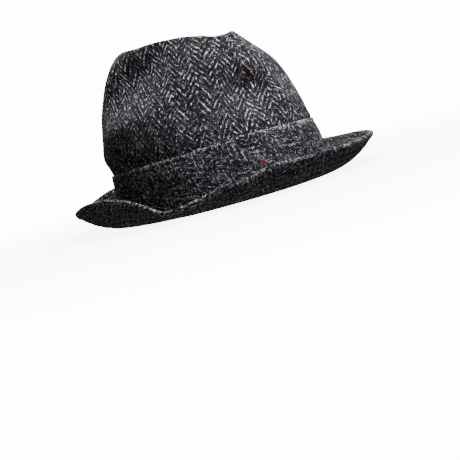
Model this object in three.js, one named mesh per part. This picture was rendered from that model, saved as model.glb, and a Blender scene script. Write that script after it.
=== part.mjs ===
// A soft tweed hat with a creased crown, a wide band of the same cloth and a turned-up brim.
// Millimetres, +Z up. The hat lies brim down: z = 0 is the flat ring of the brim round the opening.
// The wearer looks along -Y, and the wearer's right is -X. The origin is on that plane, under the
// middle of the hat's box.
// A direction is in degrees round the hat: 0 front, 90 the wearer's left, 180 back, -90 right.
import * as THREE from 'three';
import { mergeVertices } from 'three/addons/utils/BufferGeometryUtils.js';

// Driving dimensions
const CLOTH = 2.0;
const BRIM_THICKNESS = 3.2;
const BRIM_FLAT = 6.0;
const BRIM_BEND = 0.75;
const BAND_THICKNESS = 2.0;
const BAND_GAP = 0.5;
const BAND_FOOT = 3.8;
const SEAM_GAP = 0.3;
const EDGE_ROUNDING = 1.1;
const FOLD_ROUNDING = 0.45;

// Facets
const AROUND = 64;
const BRIM_AROUND = 88;
const CROWN_OUTER_ROWS = 24;
const CROWN_INNER_ROWS = 15;
const BRIM_TURN_ROWS = 7;
const BAND_WALL_ROWS = 4;
const CROWN_INNER_CROWDING = 1.3;
const BRIM_CURVE_STEPS = 40;
const BRIM_FLAT_SHARE = 0.12;
const BAND_FOLD_SHARE = 0.03;
const NEAR_EDGE = 0.97;
const MERGE_WITHIN = 1e-3;

// Sections of the crown from its foot (up 0) over the ridge (up 0.8) to the crease's floor (up 1).
// length and width are half of the section's. taper narrows it towards the front, and share is how
// much of the ridge's sink it takes.
const CROWN_SECTIONS = [
  { up: 0.00, z: 3.5, length: 103.5, width: 85.5, middle: -1.5, square: 2.05, taper: 0.00, share: 0.00 },
  { up: 0.08, z: 18.0, length: 102.5, width: 84.8, middle: -1.5, square: 2.05, taper: 0.00, share: 0.00 },
  { up: 0.15, z: 34.0, length: 101.0, width: 83.3, middle: -1.5, square: 2.05, taper: 0.00, share: 0.00 },
  { up: 0.22, z: 49.0, length: 99.5, width: 81.8, middle: 0.0, square: 2.05, taper: 0.00, share: 0.00 },
  { up: 0.29, z: 62.0, length: 99.8, width: 82.0, middle: 2.0, square: 2.06, taper: 0.00, share: 0.00 },
  { up: 0.37, z: 78.0, length: 97.3, width: 79.3, middle: 3.0, square: 2.10, taper: 0.02, share: 0.00 },
  { up: 0.45, z: 94.0, length: 92.7, width: 74.0, middle: 3.7, square: 2.15, taper: 0.05, share: 0.05 },
  { up: 0.53, z: 110.0, length: 86.3, width: 66.5, middle: 5.2, square: 2.20, taper: 0.10, share: 0.20 },
  { up: 0.62, z: 126.0, length: 78.3, width: 58.0, middle: 7.5, square: 2.25, taper: 0.15, share: 0.50 },
  { up: 0.70, z: 139.0, length: 69.5, width: 49.5, middle: 7.0, square: 2.30, taper: 0.20, share: 0.80 },
  { up: 0.76, z: 146.5, length: 63.5, width: 43.0, middle: 4.8, square: 2.30, taper: 0.24, share: 1.00 },
  { up: 0.80, z: 149.0, length: 59.5, width: 38.0, middle: 2.8, square: 2.30, taper: 0.26, share: 1.00 },
  { up: 0.84, z: 147.5, length: 55.0, width: 32.0, middle: 2.5, square: 2.25, taper: 0.26, share: 0.90 },
  { up: 0.90, z: 138.5, length: 48.0, width: 20.0, middle: 2.5, square: 2.15, taper: 0.25, share: 0.50 },
  { up: 0.95, z: 131.0, length: 43.0, width: 9.0, middle: 2.5, square: 2.05, taper: 0.15, share: 0.20 },
  { up: 1.00, z: 129.0, length: 40.0, width: 0.0, middle: 2.5, square: 2.00, taper: 0.00, share: 0.00 },
];

// How far the ridge sinks below its full height, by direction
const RIDGE_SINKS = [
  { towards: -180, sink: 1.0 },
  { towards: -150, sink: -1.5 },
  { towards: -125, sink: -1.5 },
  { towards: -90, sink: 0.3 },
  { towards: -60, sink: 3.2 },
  { towards: -42, sink: 6.4 },
  { towards: -27, sink: 9.2 },
  { towards: -13, sink: 11.5 },
  { towards: 0, sink: 13.5 },
  { towards: 13, sink: 11.0 },
  { towards: 27, sink: 9.0 },
  { towards: 42, sink: 8.5 },
  { towards: 60, sink: 8.0 },
  { towards: 90, sink: 6.0 },
  { towards: 120, sink: 4.0 },
  { towards: 150, sink: 2.0 },
];

// The two pinches at the front: where each is deepest, which way it presses and how far it reaches
const PINCHES = [
  { x: -26, y: -85, z: 88, pushX: 0.70, pushY: 0.71, depth: 20, reach: 24, reachUp: 22 },
  { x: 27, y: -82, z: 91, pushX: -0.70, pushY: 0.71, depth: 6, reach: 17, reachUp: 17 },
];

// Swells (out above 0) and hollows (out below 0) of the soft wall: where each is, how far it reaches
// along the wall and up it, how far its long axis leans, and how far out it stands
const WALL_FORMS = [
  { towards: -98, z: 121, along: 42, upright: 20, lean: 14, out: -14.0 },
  { towards: -64, z: 116, along: 11, upright: 24, lean: -14, out: 3.5 },
  { towards: -97, z: 88, along: 38, upright: 14, lean: 8, out: 3.0 },
  { towards: -58, z: 88, along: 13, upright: 20, lean: 0, out: -2.5 },
  { towards: -24, z: 62, along: 20, upright: 9, lean: 0, out: 2.5 },
  { towards: -141, z: 64, along: 16, upright: 14, lean: 0, out: 2.2 },
  { towards: -142, z: 104, along: 22, upright: 20, lean: 0, out: 2.5 },
  { towards: 80, z: 118, along: 34, upright: 15, lean: -10, out: -8.0 },
  { towards: 58, z: 92, along: 14, upright: 18, lean: 0, out: 1.5 },
  { towards: 48, z: 112, along: 18, upright: 24, lean: 0, out: 4.0 },
  { towards: 115, z: 84, along: 26, upright: 11, lean: -10, out: 1.8 },
  { towards: 150, z: 90, along: 26, upright: 13, lean: 0, out: -2.0 },
];
const WALL_RADIUS = 85.0;
const WALL_END = 0.74;
const WALL_FADE = 0.08;

// The brim by direction: the angle that its edge is turned up to, and its width along the cloth
const BRIM_SECTIONS = [
  { towards: -180, turn: 63, width: 56 },
  { towards: -170, turn: 51, width: 55 },
  { towards: -162, turn: 45, width: 52 },
  { towards: -152, turn: 42, width: 49 },
  { towards: -138, turn: 47, width: 47 },
  { towards: -125, turn: 55, width: 50 },
  { towards: -110, turn: 64, width: 54 },
  { towards: -97, turn: 66, width: 55 },
  { towards: -90, turn: 61, width: 55 },
  { towards: -84, turn: 55, width: 55 },
  { towards: -79, turn: 46, width: 55 },
  { towards: -74, turn: 35, width: 55 },
  { towards: -70, turn: 23, width: 55 },
  { towards: -67, turn: 18, width: 55 },
  { towards: -62, turn: 19, width: 55 },
  { towards: -57, turn: 24, width: 56 },
  { towards: -53, turn: 28, width: 56 },
  { towards: -50, turn: 33, width: 56 },
  { towards: -46, turn: 36, width: 56 },
  { towards: -40, turn: 37, width: 56 },
  { towards: -36, turn: 40, width: 56 },
  { towards: -31, turn: 46, width: 56 },
  { towards: -27, turn: 47, width: 56 },
  { towards: -21, turn: 44, width: 56 },
  { towards: -13, turn: 43, width: 57 },
  { towards: 0, turn: 43, width: 55 },
  { towards: 25, turn: 47, width: 52 },
  { towards: 52, turn: 48, width: 52 },
  { towards: 68, turn: 45, width: 53 },
  { towards: 82, turn: 44, width: 54 },
  { towards: 110, turn: 55, width: 55 },
  { towards: 145, turn: 62, width: 56 },
];

// The band's top edge by direction
const BAND_TOPS = [
  { towards: -180, z: 45.0 },
  { towards: -125, z: 45.5 },
  { towards: -90, z: 48.0 },
  { towards: -60, z: 49.8 },
  { towards: -45, z: 51.4 },
  { towards: -20, z: 51.2 },
  { towards: 0, z: 49.8 },
  { towards: 20, z: 48.4 },
  { towards: 45, z: 47.5 },
  { towards: 90, z: 47.0 },
  { towards: 135, z: 46.0 },
];

// Smooth reading of the tables
function readTable(table, key, name, at) {
  const last = table.length - 1;
  const x = Math.min(Math.max(at, table[0][key]), table[last][key]);
  let i = 0;
  while (i < last - 1 && x > table[i + 1][key]) i += 1;
  const slope = (k) => {
    const before = table[Math.max(k - 1, 0)];
    const after = table[Math.min(k + 1, last)];
    return (after[name] - before[name]) / (after[key] - before[key]);
  };
  const span = table[i + 1][key] - table[i][key];
  const u = (x - table[i][key]) / span;
  const u2 = u * u;
  const u3 = u2 * u;
  return (2 * u3 - 3 * u2 + 1) * table[i][name] + (u3 - 2 * u2 + u) * span * slope(i)
    + (3 * u2 - 2 * u3) * table[i + 1][name] + (u3 - u2) * span * slope(i + 1);
}

function wrapTable(table) {
  const turned = (by) => table.map((row) => ({ ...row, towards: row.towards + by }));
  return [...turned(-360), ...table, ...turned(360)];
}

const SINKS_AROUND = wrapTable(RIDGE_SINKS);
const BRIM_AROUND_TABLE = wrapTable(BRIM_SECTIONS);
const TOPS_AROUND = wrapTable(BAND_TOPS);
const crownValue = (name, up) => readTable(CROWN_SECTIONS, 'up', name, up);
const brimValue = (name, towards) => readTable(BRIM_AROUND_TABLE, 'towards', name, towards);

const power = (value, exponent) => Math.sign(value) * Math.abs(value) ** exponent;
const smoothStep = (x) => {
  const u = THREE.MathUtils.clamp(x, 0, 1);
  return u * u * (3 - 2 * u);
};

// How far the swells and hollows bring a place on the wall out. They fade away towards the ridge.
function wallFormsOut(towards, up, z) {
  const wall = 1 - smoothStep((up - WALL_END) / WALL_FADE);
  let stands = 0;
  for (const form of WALL_FORMS) {
    const turn = THREE.MathUtils.euclideanModulo(towards - form.towards + 180, 360) - 180;
    const aside = THREE.MathUtils.degToRad(turn) * WALL_RADIUS;
    const above = z - form.z;
    const lean = THREE.MathUtils.degToRad(form.lean);
    const along = (aside * Math.cos(lean) + above * Math.sin(lean)) / form.along;
    const upright = (above * Math.cos(lean) - aside * Math.sin(lean)) / form.upright;
    stands += form.out * wall * Math.exp(-along * along - upright * upright);
  }
  return stands;
}

// Crown
function crownPoint(towards, up) {
  const angle = THREE.MathUtils.degToRad(towards);
  const exponent = 2 / crownValue('square', up);
  const forward = power(Math.cos(angle), exponent);
  const narrowing = 1 - crownValue('taper', up) * smoothStep(0.5 + 0.5 * forward);
  const sink = readTable(SINKS_AROUND, 'towards', 'sink', towards);
  const point = new THREE.Vector3(
    crownValue('width', up) * power(Math.sin(angle), exponent) * narrowing,
    crownValue('middle', up) - crownValue('length', up) * forward,
    crownValue('z', up) - crownValue('share', up) * sink,
  );
  const stands = wallFormsOut(towards, up, point.z);
  point.x += Math.sin(angle) * stands;
  point.y -= Math.cos(angle) * stands;
  for (const pinch of PINCHES) {
    const sideways = ((point.x - pinch.x) ** 2 + (point.y - pinch.y) ** 2) / pinch.reach ** 2;
    const upwards = ((point.z - pinch.z) / pinch.reachUp) ** 2;
    const press = pinch.depth * Math.exp(-sideways - upwards);
    point.x += pinch.pushX * press;
    point.y += pinch.pushY * press;
  }
  return point;
}

// The direction out of the cloth. On the crease's floor it is straight up.
function crownNormal(towards, up) {
  if (up === 1) return new THREE.Vector3(0, 0, 1);
  const turnStep = 1;
  const upStep = 0.004;
  const round = crownPoint(towards + turnStep, up).sub(crownPoint(towards - turnStep, up));
  const rise = crownPoint(towards, up + upStep).sub(crownPoint(towards, Math.max(up - upStep, 0)));
  return round.cross(rise).normalize();
}

function crownInnerPoint(towards, up) {
  const inner = crownPoint(towards, up).addScaledVector(crownNormal(towards, up), -CLOTH);
  if (up === 0) inner.z = CROWN_SECTIONS[0].z;
  return inner;
}

// Where on the crown's wall, below its shoulder, a height lies
function upAtHeight(z) {
  const halvings = 30;
  let low = 0;
  let high = 0.5;
  for (let i = 0; i < halvings; i += 1) {
    const middle = (low + high) / 2;
    if (crownValue('z', middle) < z) low = middle;
    else high = middle;
  }
  return (low + high) / 2;
}

// Brim. across runs from the opening (0) to the edge (1), and side from the underside (-1) to the
// top (1).
const FOOT = CROWN_SECTIONS[0];
const OPENING_LENGTH = FOOT.length - CLOTH - SEAM_GAP;
const OPENING_WIDTH = FOOT.width - CLOTH - SEAM_GAP;

function brimPoint(towards, across, side) {
  const angle = THREE.MathUtils.degToRad(towards);
  const turn = THREE.MathUtils.degToRad(brimValue('turn', towards));
  const bent = brimValue('width', towards) - BRIM_FLAT;
  const slopeAt = (length) => turn * Math.max((length - BRIM_FLAT) / bent, 0) ** BRIM_BEND;
  const reach = across <= BRIM_FLAT_SHARE
    ? BRIM_FLAT * (across / BRIM_FLAT_SHARE)
    : BRIM_FLAT + bent * (across - BRIM_FLAT_SHARE) / (1 - BRIM_FLAT_SHARE);
  let out = 0;
  let rise = 0;
  const stride = reach / BRIM_CURVE_STEPS;
  for (let i = 0; i < BRIM_CURVE_STEPS; i += 1) {
    const slope = slopeAt(stride * (i + 0.5));
    out += Math.cos(slope) * stride;
    rise += Math.sin(slope) * stride;
  }
  const half = BRIM_THICKNESS / 2;
  out -= Math.sin(slopeAt(reach)) * side * half;
  rise += half + Math.cos(slopeAt(reach)) * side * half;
  const outward = new THREE.Vector2(OPENING_LENGTH * Math.sin(angle), -OPENING_WIDTH * Math.cos(angle));
  outward.normalize();
  return new THREE.Vector3(
    OPENING_WIDTH * Math.sin(angle) + outward.x * out,
    FOOT.middle - OPENING_LENGTH * Math.cos(angle) + outward.y * out,
    rise,
  );
}

// Band. share runs from its foot (0) to its top edge (1), and out is the distance from the crown.
function bandPoint(towards, share, out) {
  const z = THREE.MathUtils.lerp(BAND_FOOT, readTable(TOPS_AROUND, 'towards', 'z', towards), share);
  const up = upAtHeight(z);
  const outward = crownNormal(towards, up).setZ(0).normalize();
  const point = crownPoint(towards, up).addScaledVector(outward, out);
  point.z = z;
  return point;
}

// A closed skin through rings of points. Each ring goes once round the hat.
// With joinEnds the last ring meets the first, and otherwise each end ring is folded flat and zipped.
function skinThrough(rings, joinEnds) {
  const count = rings[0].length;
  const positions = rings.flat().flatMap((p) => [p.x, p.y, p.z]);
  const index = [];
  const bands = joinEnds ? rings.length : rings.length - 1;
  for (let i = 0; i < bands; i += 1) {
    const next = (i + 1) % rings.length;
    for (let j = 0; j < count; j += 1) {
      const k = (j + 1) % count;
      const corner = [i * count + j, i * count + k, next * count + k, next * count + j];
      index.push(corner[0], corner[1], corner[2], corner[0], corner[2], corner[3]);
    }
  }
  const loose = new THREE.BufferGeometry();
  loose.setAttribute('position', new THREE.Float32BufferAttribute(positions, 3));
  loose.setIndex(index);
  return dropFlatFaces(mergeVertices(loose, MERGE_WITHIN));
}

// Faces that fold away to nothing where a ring is zipped are left out.
function dropFlatFaces(geometry) {
  const corners = geometry.getIndex().array;
  const kept = [];
  for (let i = 0; i < corners.length; i += 3) {
    const [a, b, c] = [corners[i], corners[i + 1], corners[i + 2]];
    if (a !== b && b !== c && c !== a) kept.push(a, b, c);
  }
  geometry.setIndex(kept);
  geometry.computeVertexNormals();
  return geometry;
}

function ring(count, pointTowards) {
  return Array.from({ length: count }, (_, j) => pointTowards(-180 + 360 * j / count));
}

function crownGeometry() {
  const rings = [];
  for (let i = CROWN_INNER_ROWS; i >= 0; i -= 1) {
    const up = 1 - (1 - i / CROWN_INNER_ROWS) ** CROWN_INNER_CROWDING;
    rings.push(ring(AROUND, (towards) => crownInnerPoint(towards, up)));
  }
  for (let i = 0; i <= CROWN_OUTER_ROWS; i += 1) {
    rings.push(ring(AROUND, (towards) => crownPoint(towards, i / CROWN_OUTER_ROWS)));
  }
  return skinThrough(rings, false);
}

function brimGeometry() {
  const acrossRows = [0];
  for (let i = 0; i <= BRIM_TURN_ROWS; i += 1) {
    acrossRows.push(BRIM_FLAT_SHARE + (1 - BRIM_FLAT_SHARE) * i / BRIM_TURN_ROWS);
  }
  const face = (side) => acrossRows.map(
    (across) => ring(BRIM_AROUND, (towards) => brimPoint(towards, across, side)),
  );
  const edge = ring(BRIM_AROUND, (towards) => {
    const end = brimPoint(towards, 1, 0);
    const outward = end.clone().sub(brimPoint(towards, NEAR_EDGE, 0)).normalize();
    return end.addScaledVector(outward, EDGE_ROUNDING);
  });
  return skinThrough([...face(-1), edge, ...face(1).reverse()], true);
}

function bandGeometry() {
  const inside = BAND_GAP;
  const outside = BAND_GAP + BAND_THICKNESS;
  const wall = [];
  for (let i = 0; i < BAND_WALL_ROWS; i += 1) {
    wall.push(BAND_FOLD_SHARE + (1 - 2 * BAND_FOLD_SHARE) * i / (BAND_WALL_ROWS - 1));
  }
  const rows = [
    { share: 0, out: inside + FOLD_ROUNDING },
    { share: 0, out: outside - FOLD_ROUNDING },
    ...wall.map((share) => ({ share, out: outside })),
    { share: 1, out: outside - FOLD_ROUNDING },
    { share: 1, out: inside + FOLD_ROUNDING },
    ...wall.reverse().map((share) => ({ share, out: inside })),
  ];
  const rings = rows.map((row) => ring(AROUND, (towards) => bandPoint(towards, row.share, row.out)));
  return skinThrough(rings, true);
}

// The hat
function tweed(colour) {
  return new THREE.MeshStandardMaterial({ color: colour, roughness: 0.95, metalness: 0 });
}

function piece(name, geometry, material) {
  const mesh = new THREE.Mesh(geometry, material);
  mesh.name = name;
  return mesh;
}

const hat = new THREE.Group();
hat.add(piece('crown', crownGeometry(), tweed('#4b4b4e')));
hat.add(piece('hat_band', bandGeometry(), tweed('#444447')));
hat.add(piece('brim', brimGeometry(), tweed('#3c3c3f')));

// The sections are drawn round the crown's foot, and the whole hat is then centred over the origin.
const extent = new THREE.Box3().setFromObject(hat);
hat.position.set(-(extent.min.x + extent.max.x) / 2, -(extent.min.y + extent.max.y) / 2, 0);

export default hat;
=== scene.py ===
"""A soft tweed hat: creased crown, wide band of the same cloth and a turned-up brim.

The file is laid out as an add-on and run as a script. Lengths in the tables are millimetres and
angles are degrees. A direction is counted round the hat: 0 front, 90 the wearer's left, 180 back
and -90 the wearer's right. Meshes are in metres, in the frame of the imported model.
"""

import math

import bpy
import numpy as np
from bpy.props import FloatProperty, FloatVectorProperty, IntProperty, PointerProperty
from mathutils import Matrix, Vector, noise


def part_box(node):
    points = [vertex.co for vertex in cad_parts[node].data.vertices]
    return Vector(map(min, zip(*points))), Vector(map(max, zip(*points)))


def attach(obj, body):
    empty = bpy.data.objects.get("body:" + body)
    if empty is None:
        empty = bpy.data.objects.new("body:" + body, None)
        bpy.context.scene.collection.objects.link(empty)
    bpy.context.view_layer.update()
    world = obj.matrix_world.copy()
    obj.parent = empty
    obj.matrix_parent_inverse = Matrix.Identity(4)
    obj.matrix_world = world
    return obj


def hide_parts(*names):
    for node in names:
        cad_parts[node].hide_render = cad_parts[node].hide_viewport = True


bl_info = {
    "name": "Tweed Hat",
    "version": (1, 0, 0),
    "blender": (4, 5, 0),
    "location": "View3D > Sidebar > Hat",
    "description": "Builds a creased tweed hat round its packed frame",
    "category": "Add Mesh",
}

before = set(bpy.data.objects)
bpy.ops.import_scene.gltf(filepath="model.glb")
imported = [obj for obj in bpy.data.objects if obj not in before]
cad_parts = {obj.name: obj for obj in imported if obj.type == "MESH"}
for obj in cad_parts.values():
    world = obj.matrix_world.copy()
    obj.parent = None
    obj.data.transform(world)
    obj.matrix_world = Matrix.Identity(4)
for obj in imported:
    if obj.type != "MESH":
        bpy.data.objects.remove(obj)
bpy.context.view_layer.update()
MM = 0.001

# The tables are drawn round the crown's foot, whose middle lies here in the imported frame.
CROWN_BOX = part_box("crown")
CROWN_MIDDLE = (CROWN_BOX[0] + CROWN_BOX[1]) / 2
FOOT_MIDDLE_Y = -1.5
HAT_ORIGIN = Vector((CROWN_MIDDLE.x, CROWN_MIDDLE.y - FOOT_MIDDLE_Y * MM, 0.0))


def named_columns(names, *rows):
    """A short table as one array for each named column"""
    return {name: np.array(column) for name, column in zip(names.split(), zip(*rows))}


# Sections of the crown from its foot (up 0) over the ridge (up 0.8) to the crease's floor (up 1).
# taper narrows a section towards the front, and share is how much of the ridge's sink it takes.
CROWN_SECTIONS = named_columns(
    "up    z      length width  middle square taper share",
    (0.00, 3.5, 103.5, 85.5, -1.5, 2.05, 0.00, 0.00),
    (0.08, 18.0, 102.5, 84.8, -1.5, 2.05, 0.00, 0.00),
    (0.15, 34.0, 101.0, 83.3, -1.5, 2.05, 0.00, 0.00),
    (0.22, 49.0, 99.5, 81.8, 0.0, 2.05, 0.00, 0.00),
    (0.29, 62.0, 99.8, 82.0, 2.0, 2.06, 0.00, 0.00),
    (0.37, 78.0, 97.3, 79.3, 3.0, 2.10, 0.02, 0.00),
    (0.45, 94.0, 92.7, 74.0, 3.7, 2.15, 0.05, 0.05),
    (0.53, 110.0, 86.3, 66.5, 5.2, 2.20, 0.10, 0.20),
    (0.62, 126.0, 78.3, 58.0, 7.5, 2.25, 0.15, 0.50),
    (0.70, 139.0, 69.5, 49.5, 7.0, 2.30, 0.20, 0.80),
    (0.76, 146.5, 63.5, 43.0, 4.8, 2.30, 0.24, 1.00),
    (0.80, 149.0, 59.5, 38.0, 2.8, 2.30, 0.26, 1.00),
    (0.84, 147.5, 55.0, 32.0, 2.5, 2.25, 0.26, 0.90),
    (0.90, 138.5, 48.0, 20.0, 2.5, 2.15, 0.25, 0.50),
    (0.95, 131.0, 43.0, 9.0, 2.5, 2.05, 0.15, 0.20),
    (1.00, 129.0, 40.0, 0.0, 2.5, 2.00, 0.00, 0.00),
)

# How far the ridge sinks below its full height
RIDGE_SINKS = named_columns(
    "towards sink",
    (-180, 1.0), (-150, -1.5), (-125, -1.5), (-90, 0.3), (-60, 3.2), (-42, 6.4), (-27, 9.2),
    (-13, 11.5), (0, 13.5), (13, 11.0), (27, 9.0), (42, 8.5), (60, 8.0), (90, 6.0),
    (120, 4.0), (150, 2.0), (180, 1.0),
)

# The two pinches at the front: where each is deepest, which way it presses and how far it reaches
PINCHES = (
    {"x": -26, "y": -85, "z": 88, "push_x": 0.70, "push_y": 0.71, "depth": 20, "reach": 24, "reach_up": 22},
    {"x": 27, "y": -82, "z": 91, "push_x": -0.70, "push_y": 0.71, "depth": 6, "reach": 17, "reach_up": 17},
)

# Swells (out above 0) and hollows (out below 0) of the soft wall: where each is, how far it reaches
# along the wall and up it, how far its long axis leans, and how far out it stands
WALL_FORMS = named_columns(
    "towards z along upright lean out",
    (-98, 121, 42, 20, 14, -14.0),
    (-64, 116, 11, 24, -14, 3.5),
    (-97, 88, 38, 14, 8, 3.0),
    (-58, 88, 13, 20, 0, -2.5),
    (-24, 62, 20, 9, 0, 2.5),
    (-141, 64, 16, 14, 0, 2.2),
    (-142, 104, 22, 20, 0, 2.5),
    (80, 118, 34, 15, -10, -8.0),
    (58, 92, 14, 18, 0, 1.5),
    (48, 112, 18, 24, 0, 4.0),
    (115, 84, 26, 11, -10, 1.8),
    (150, 90, 26, 13, 0, -2.0),
)

# The radius at which a distance round the wall is worked out from degrees
WALL_RADIUS = 85.0

# The brim: the angle that its edge is turned up to, and its width along the cloth
BRIM_SECTIONS = named_columns(
    "towards turn width",
    (-180, 63, 56), (-170, 51, 55), (-162, 45, 52), (-152, 42, 49), (-138, 47, 47), (-125, 55, 50),
    (-110, 64, 54), (-97, 66, 55), (-90, 61, 55), (-84, 55, 55), (-79, 46, 55), (-74, 35, 55),
    (-70, 23, 55), (-67, 18, 55), (-62, 19, 55), (-57, 24, 56), (-53, 28, 56), (-50, 33, 56),
    (-46, 36, 56), (-40, 37, 56), (-36, 40, 56), (-31, 46, 56), (-27, 47, 56), (-21, 44, 56),
    (-13, 43, 57), (0, 43, 55), (25, 47, 52), (52, 48, 52), (68, 45, 53), (82, 44, 54),
    (110, 55, 55), (145, 62, 56), (180, 63, 56),
)

# The band's top edge
BAND_TOPS = named_columns(
    "towards z",
    (-180, 45.0), (-125, 45.5), (-90, 48.0), (-60, 49.8), (-45, 51.4), (-20, 51.2), (0, 49.8),
    (20, 48.4), (45, 47.5), (90, 47.0), (135, 46.0), (180, 45.0),
)

# Where the band is tacked down: small dimples and the cloth that puffs out beside them
PUCKERS = named_columns(
    "towards z along upright out",
    (-33, 41, 3.4, 2.2, -2.6),
    (-30, 51, 7.0, 3.6, 1.6),
    (35, 45, 3.2, 2.4, -2.0),
    (31, 52, 7.0, 3.6, 1.4),
    (140, 42, 3.2, 2.4, -2.0),
    (145, 49, 7.0, 3.6, 1.4),
    (-138, 60, 18.0, 10.0, 0.9),
)

# Tufts of dyed wool in the cloth: where each is, its length and width, how it leans and its wool
FLECKS = named_columns(
    "towards up long wide lean wool",
    (-27, 0.125, 4.4, 2.4, -4, 0), (28, 0.502, 2.4, 0.9, 60, 0), (-10, 0.519, 2.2, 0.9, 30, 0),
    (-14, 0.496, 2.0, 0.9, -40, 0), (-18, 0.478, 1.8, 0.9, 10, 0), (18, 0.361, 2.2, 0.9, 50, 1),
    (-80, 0.564, 2.2, 0.9, -50, 2), (-89, 0.455, 2.2, 0.9, 40, 2), (-36, 0.699, 2.4, 0.9, 55, 3),
    (-18, 0.599, 2.2, 0.9, 50, 3), (-30, 0.418, 2.0, 0.9, -45, 4), (-58, 0.520, 2.0, 0.9, 45, 0),
    (-48, 0.100, 2.0, 0.9, 0, 4), (66, 0.430, 2.4, 0.9, 35, 2), (84, 0.150, 2.2, 0.9, 20, 0),
    (104, 0.610, 2.4, 0.9, -50, 3), (126, 0.330, 2.0, 0.9, 45, 1), (150, 0.520, 2.2, 0.9, -40, 0),
    (171, 0.180, 2.4, 0.9, 10, 2), (-168, 0.440, 2.2, 0.9, 50, 3), (-150, 0.620, 2.2, 0.9, -45, 0),
    (-132, 0.300, 2.0, 0.9, 30, 4), (-118, 0.140, 2.0, 0.9, 15, 3), (-107, 0.380, 2.0, 0.9, 45, 0),
)
FLECK_HEIGHT = 0.9

# The tufts' wools by number: crimson, rust, blue, green and violet
FLECK_WOOLS = (
    (0.30, 0.012, 0.02), (0.26, 0.06, 0.02), (0.02, 0.09, 0.24), (0.02, 0.15, 0.12), (0.16, 0.04, 0.16),
)

# Sizes that the solids share: the crown's cloth and its gap to the brim, the brim's flat ring and how
# soon it bends up, and the band's gap to the crown and its foot
CLOTH = 2.0
SEAM_GAP = 0.3
BRIM_FLAT = 6.0
BRIM_BEND = 0.75
BAND_GAP = 0.5
BAND_FOOT = 3.8

# Half the length and half the width of the opening, inside the crown's foot
OPENING_LENGTH = CROWN_SECTIONS["length"][0] - CLOTH - SEAM_GAP
OPENING_WIDTH = CROWN_SECTIONS["width"][0] - CLOTH - SEAM_GAP

# Where a feature of the crown fades out up its sections: the start and the distance
FORMS_FADE = (0.74, 0.08)
WAVES_FADE = (0.80, 0.15)
SEAM_FADE = (0.90, 0.06)

# The seam along the crown's middle: its depth, and its reach in degrees on each side
SEAM_DEPTH = 0.8
SEAM_REACH = 1.3

# The heights over which the crown's wall comes free of the band, as a start and a distance
WALL_FREE = (50.0, 25.0)

# The band is drawn in towards its top, from a share of its height. Its face puffs out in waves, and
# its top edge wanders up and down.
BAND_HUG = 0.4
HUG_FROM = (0.7, 0.3)
BAND_PUFF = 0.45
FLATTEST_PUFF = -0.5
FOLD_RISE = 0.8
TOP_WANDER = {"height": 0.5, "length": 9.0, "seed": 6, "above": (40.0, 5.0)}
TACK_HEIGHT = 40.0

# The brim's plump edge, the grooves of its stitching counted in from the edge, and its soft waves
EDGE_SWELL = {"out": 0.5, "from_edge": 1.5, "reach": 3.0}
BRIM_GROOVES = (6.5, 15.0, 23.5, 32.0)
GROOVE_DEPTH = 0.45
GROOVE_REACH = 1.0
BRIM_WAVE = {"height": 0.8, "length": 45.0, "seed": 5, "from": (0.2, 0.6)}

# Soft waves: the length of each, its share of their height, and its seed
CROWN_WAVES = ((38.0, 1.0, 1), (17.0, 0.4, 2))
BAND_WAVES = ((30.0, 1.0, 3), (12.0, 0.5, 4))

# How strong the painted highlight on the brim's edge is, and how far it reaches in from each edge
EDGE_HIGHLIGHT = 0.75
BRIM_HIGHLIGHT_REACH = 2.0
BAND_HIGHLIGHT_REACH = 1.6

# Facets of the fine meshes. The crown's inside and the band's back take every second or fourth row.
AROUND = 288
CROWN_ROWS = 140
INSIDE_EVERY = 2
BRIM_ROWS = 72
BAND_ROWS = 40
BACK_EVERY = 4

# The yarns of each half of the crown stand upright on a line, at this direction low and high. The left
# half is cut this many herringbone repeats away from the right one.
PLUMB_LOW = {"z": 75.0, "towards": 40.0}
PLUMB_HIGH = {"z": 140.0, "towards": 33.0}
HALVES_APART = 10


class HatCloth(bpy.types.PropertyGroup):
    """Sizes and colours of the tweed"""

    warp: FloatProperty(
        name="Warp Spacing", description="Distance between the upright yarns",
        default=1.222 * MM, unit="LENGTH")
    weft: FloatProperty(
        name="Weft Spacing", description="Distance between the yarns that cross them",
        default=1.75 * MM, unit="LENGTH")
    rib: IntProperty(
        name="Yarns per Rib", description="Upright yarns before the twill turns back", default=9)
    light: FloatVectorProperty(
        name="Light Wool", description="Colour of the palest wool", subtype="COLOR",
        size=3, min=0, max=1, default=(0.82, 0.81, 0.84))
    dark: FloatVectorProperty(
        name="Dark Wool", description="Colour of the darkest wool", subtype="COLOR",
        size=3, min=0, max=1, default=(0.006, 0.006, 0.008))
    bump: FloatProperty(
        name="Yarn Height", description="How far a yarn stands out of the cloth",
        default=0.5 * MM, unit="LENGTH")


class HatShape(bpy.types.PropertyGroup):
    """Sizes of the hat's own pieces"""

    slack: FloatProperty(
        name="Slack", description="Height of the soft waves in the crown's wall",
        default=0.9 * MM, unit="LENGTH")
    brim_thickness: FloatProperty(
        name="Brim Thickness", description="Thickness of the brim", default=3.2 * MM, unit="LENGTH")
    band_thickness: FloatProperty(
        name="Band Thickness", description="Thickness of the folded band", default=2.0 * MM, unit="LENGTH")


class HatThread(bpy.types.PropertyGroup):
    """The stitches round the brim"""

    pitch: FloatProperty(
        name="Pitch", description="Distance from stitch to stitch", default=3.4 * MM, unit="LENGTH")
    length: FloatProperty(
        name="Stitch Length", description="Length of the part of a stitch that shows",
        default=2.5 * MM, unit="LENGTH")
    width: FloatProperty(
        name="Thread Width", description="Thickness of the thread", default=0.7 * MM, unit="LENGTH")


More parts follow.
